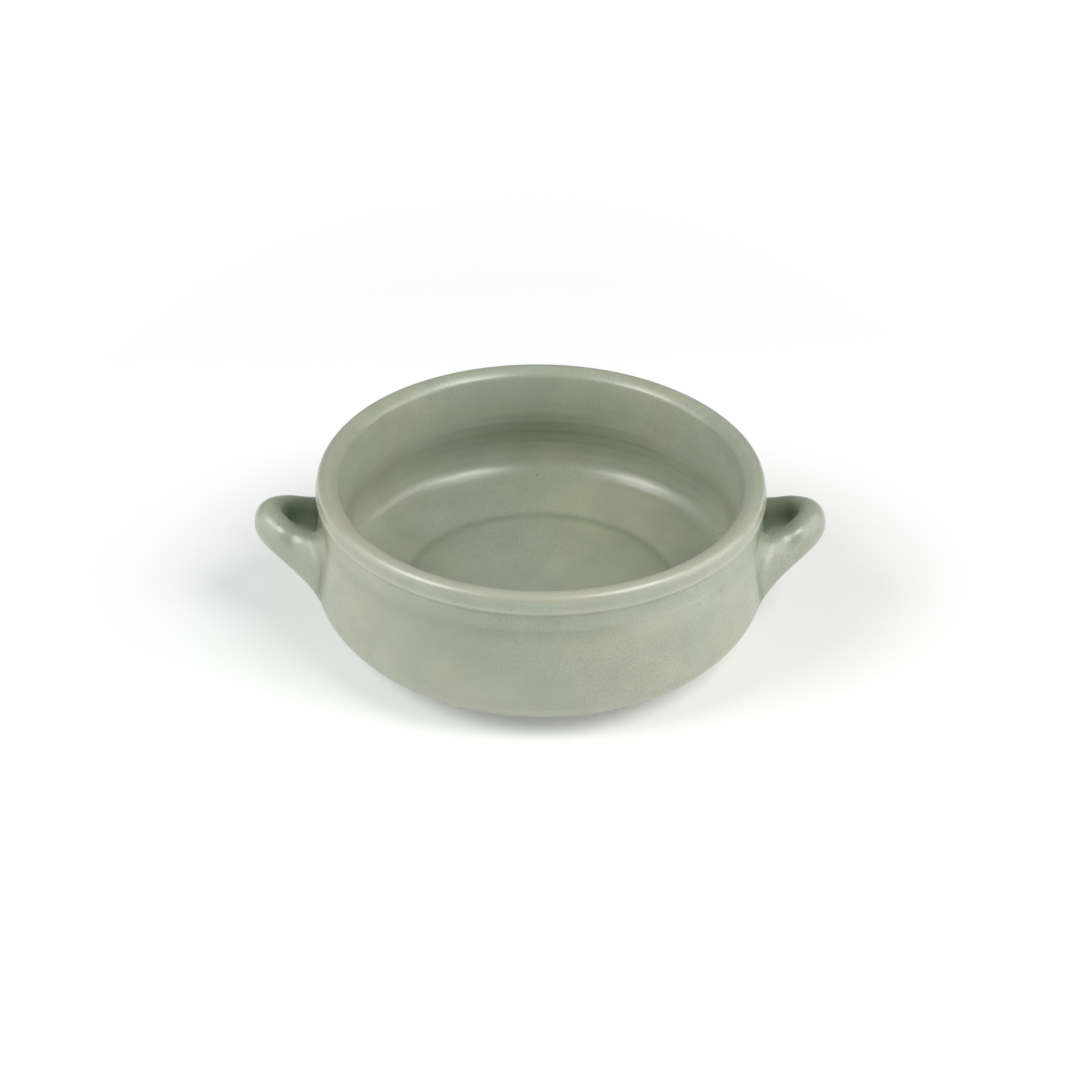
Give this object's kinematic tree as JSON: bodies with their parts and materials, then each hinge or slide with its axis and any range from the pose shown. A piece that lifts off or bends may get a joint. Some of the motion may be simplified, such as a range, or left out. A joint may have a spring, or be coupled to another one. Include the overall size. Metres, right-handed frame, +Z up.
{
  "type": "tapas dish",
  "caption": "Small round stoneware dish with a rolled rim, rounded belly, flat floor and a rolled ear handle on each side, for serving single portions.",
  "frame": {"origin": "centre of the foot ring, on the surface that the dish stands on", "axes": "+Z up, X through both handles, Y from the front of the dish to its back"},
  "size_m": [0.1544, 0.1224, 0.046],
  "materials": {
    "sage_glaze": "satin sage-green glaze over stoneware, softly mottled",
    "pooled_glaze": "glaze pooled a little greener where the roots meet the wall"
  },
  "bodies": {
    "root": {"bowl_body": "sage_glaze", "handle_left": "sage_glaze", "handle_right": "sage_glaze", "slip_joint_left_front": "pooled_glaze", "slip_joint_left_rear": "pooled_glaze", "slip_joint_right_front": "pooled_glaze", "slip_joint_right_rear": "pooled_glaze"}
  },
  "joints": []
}
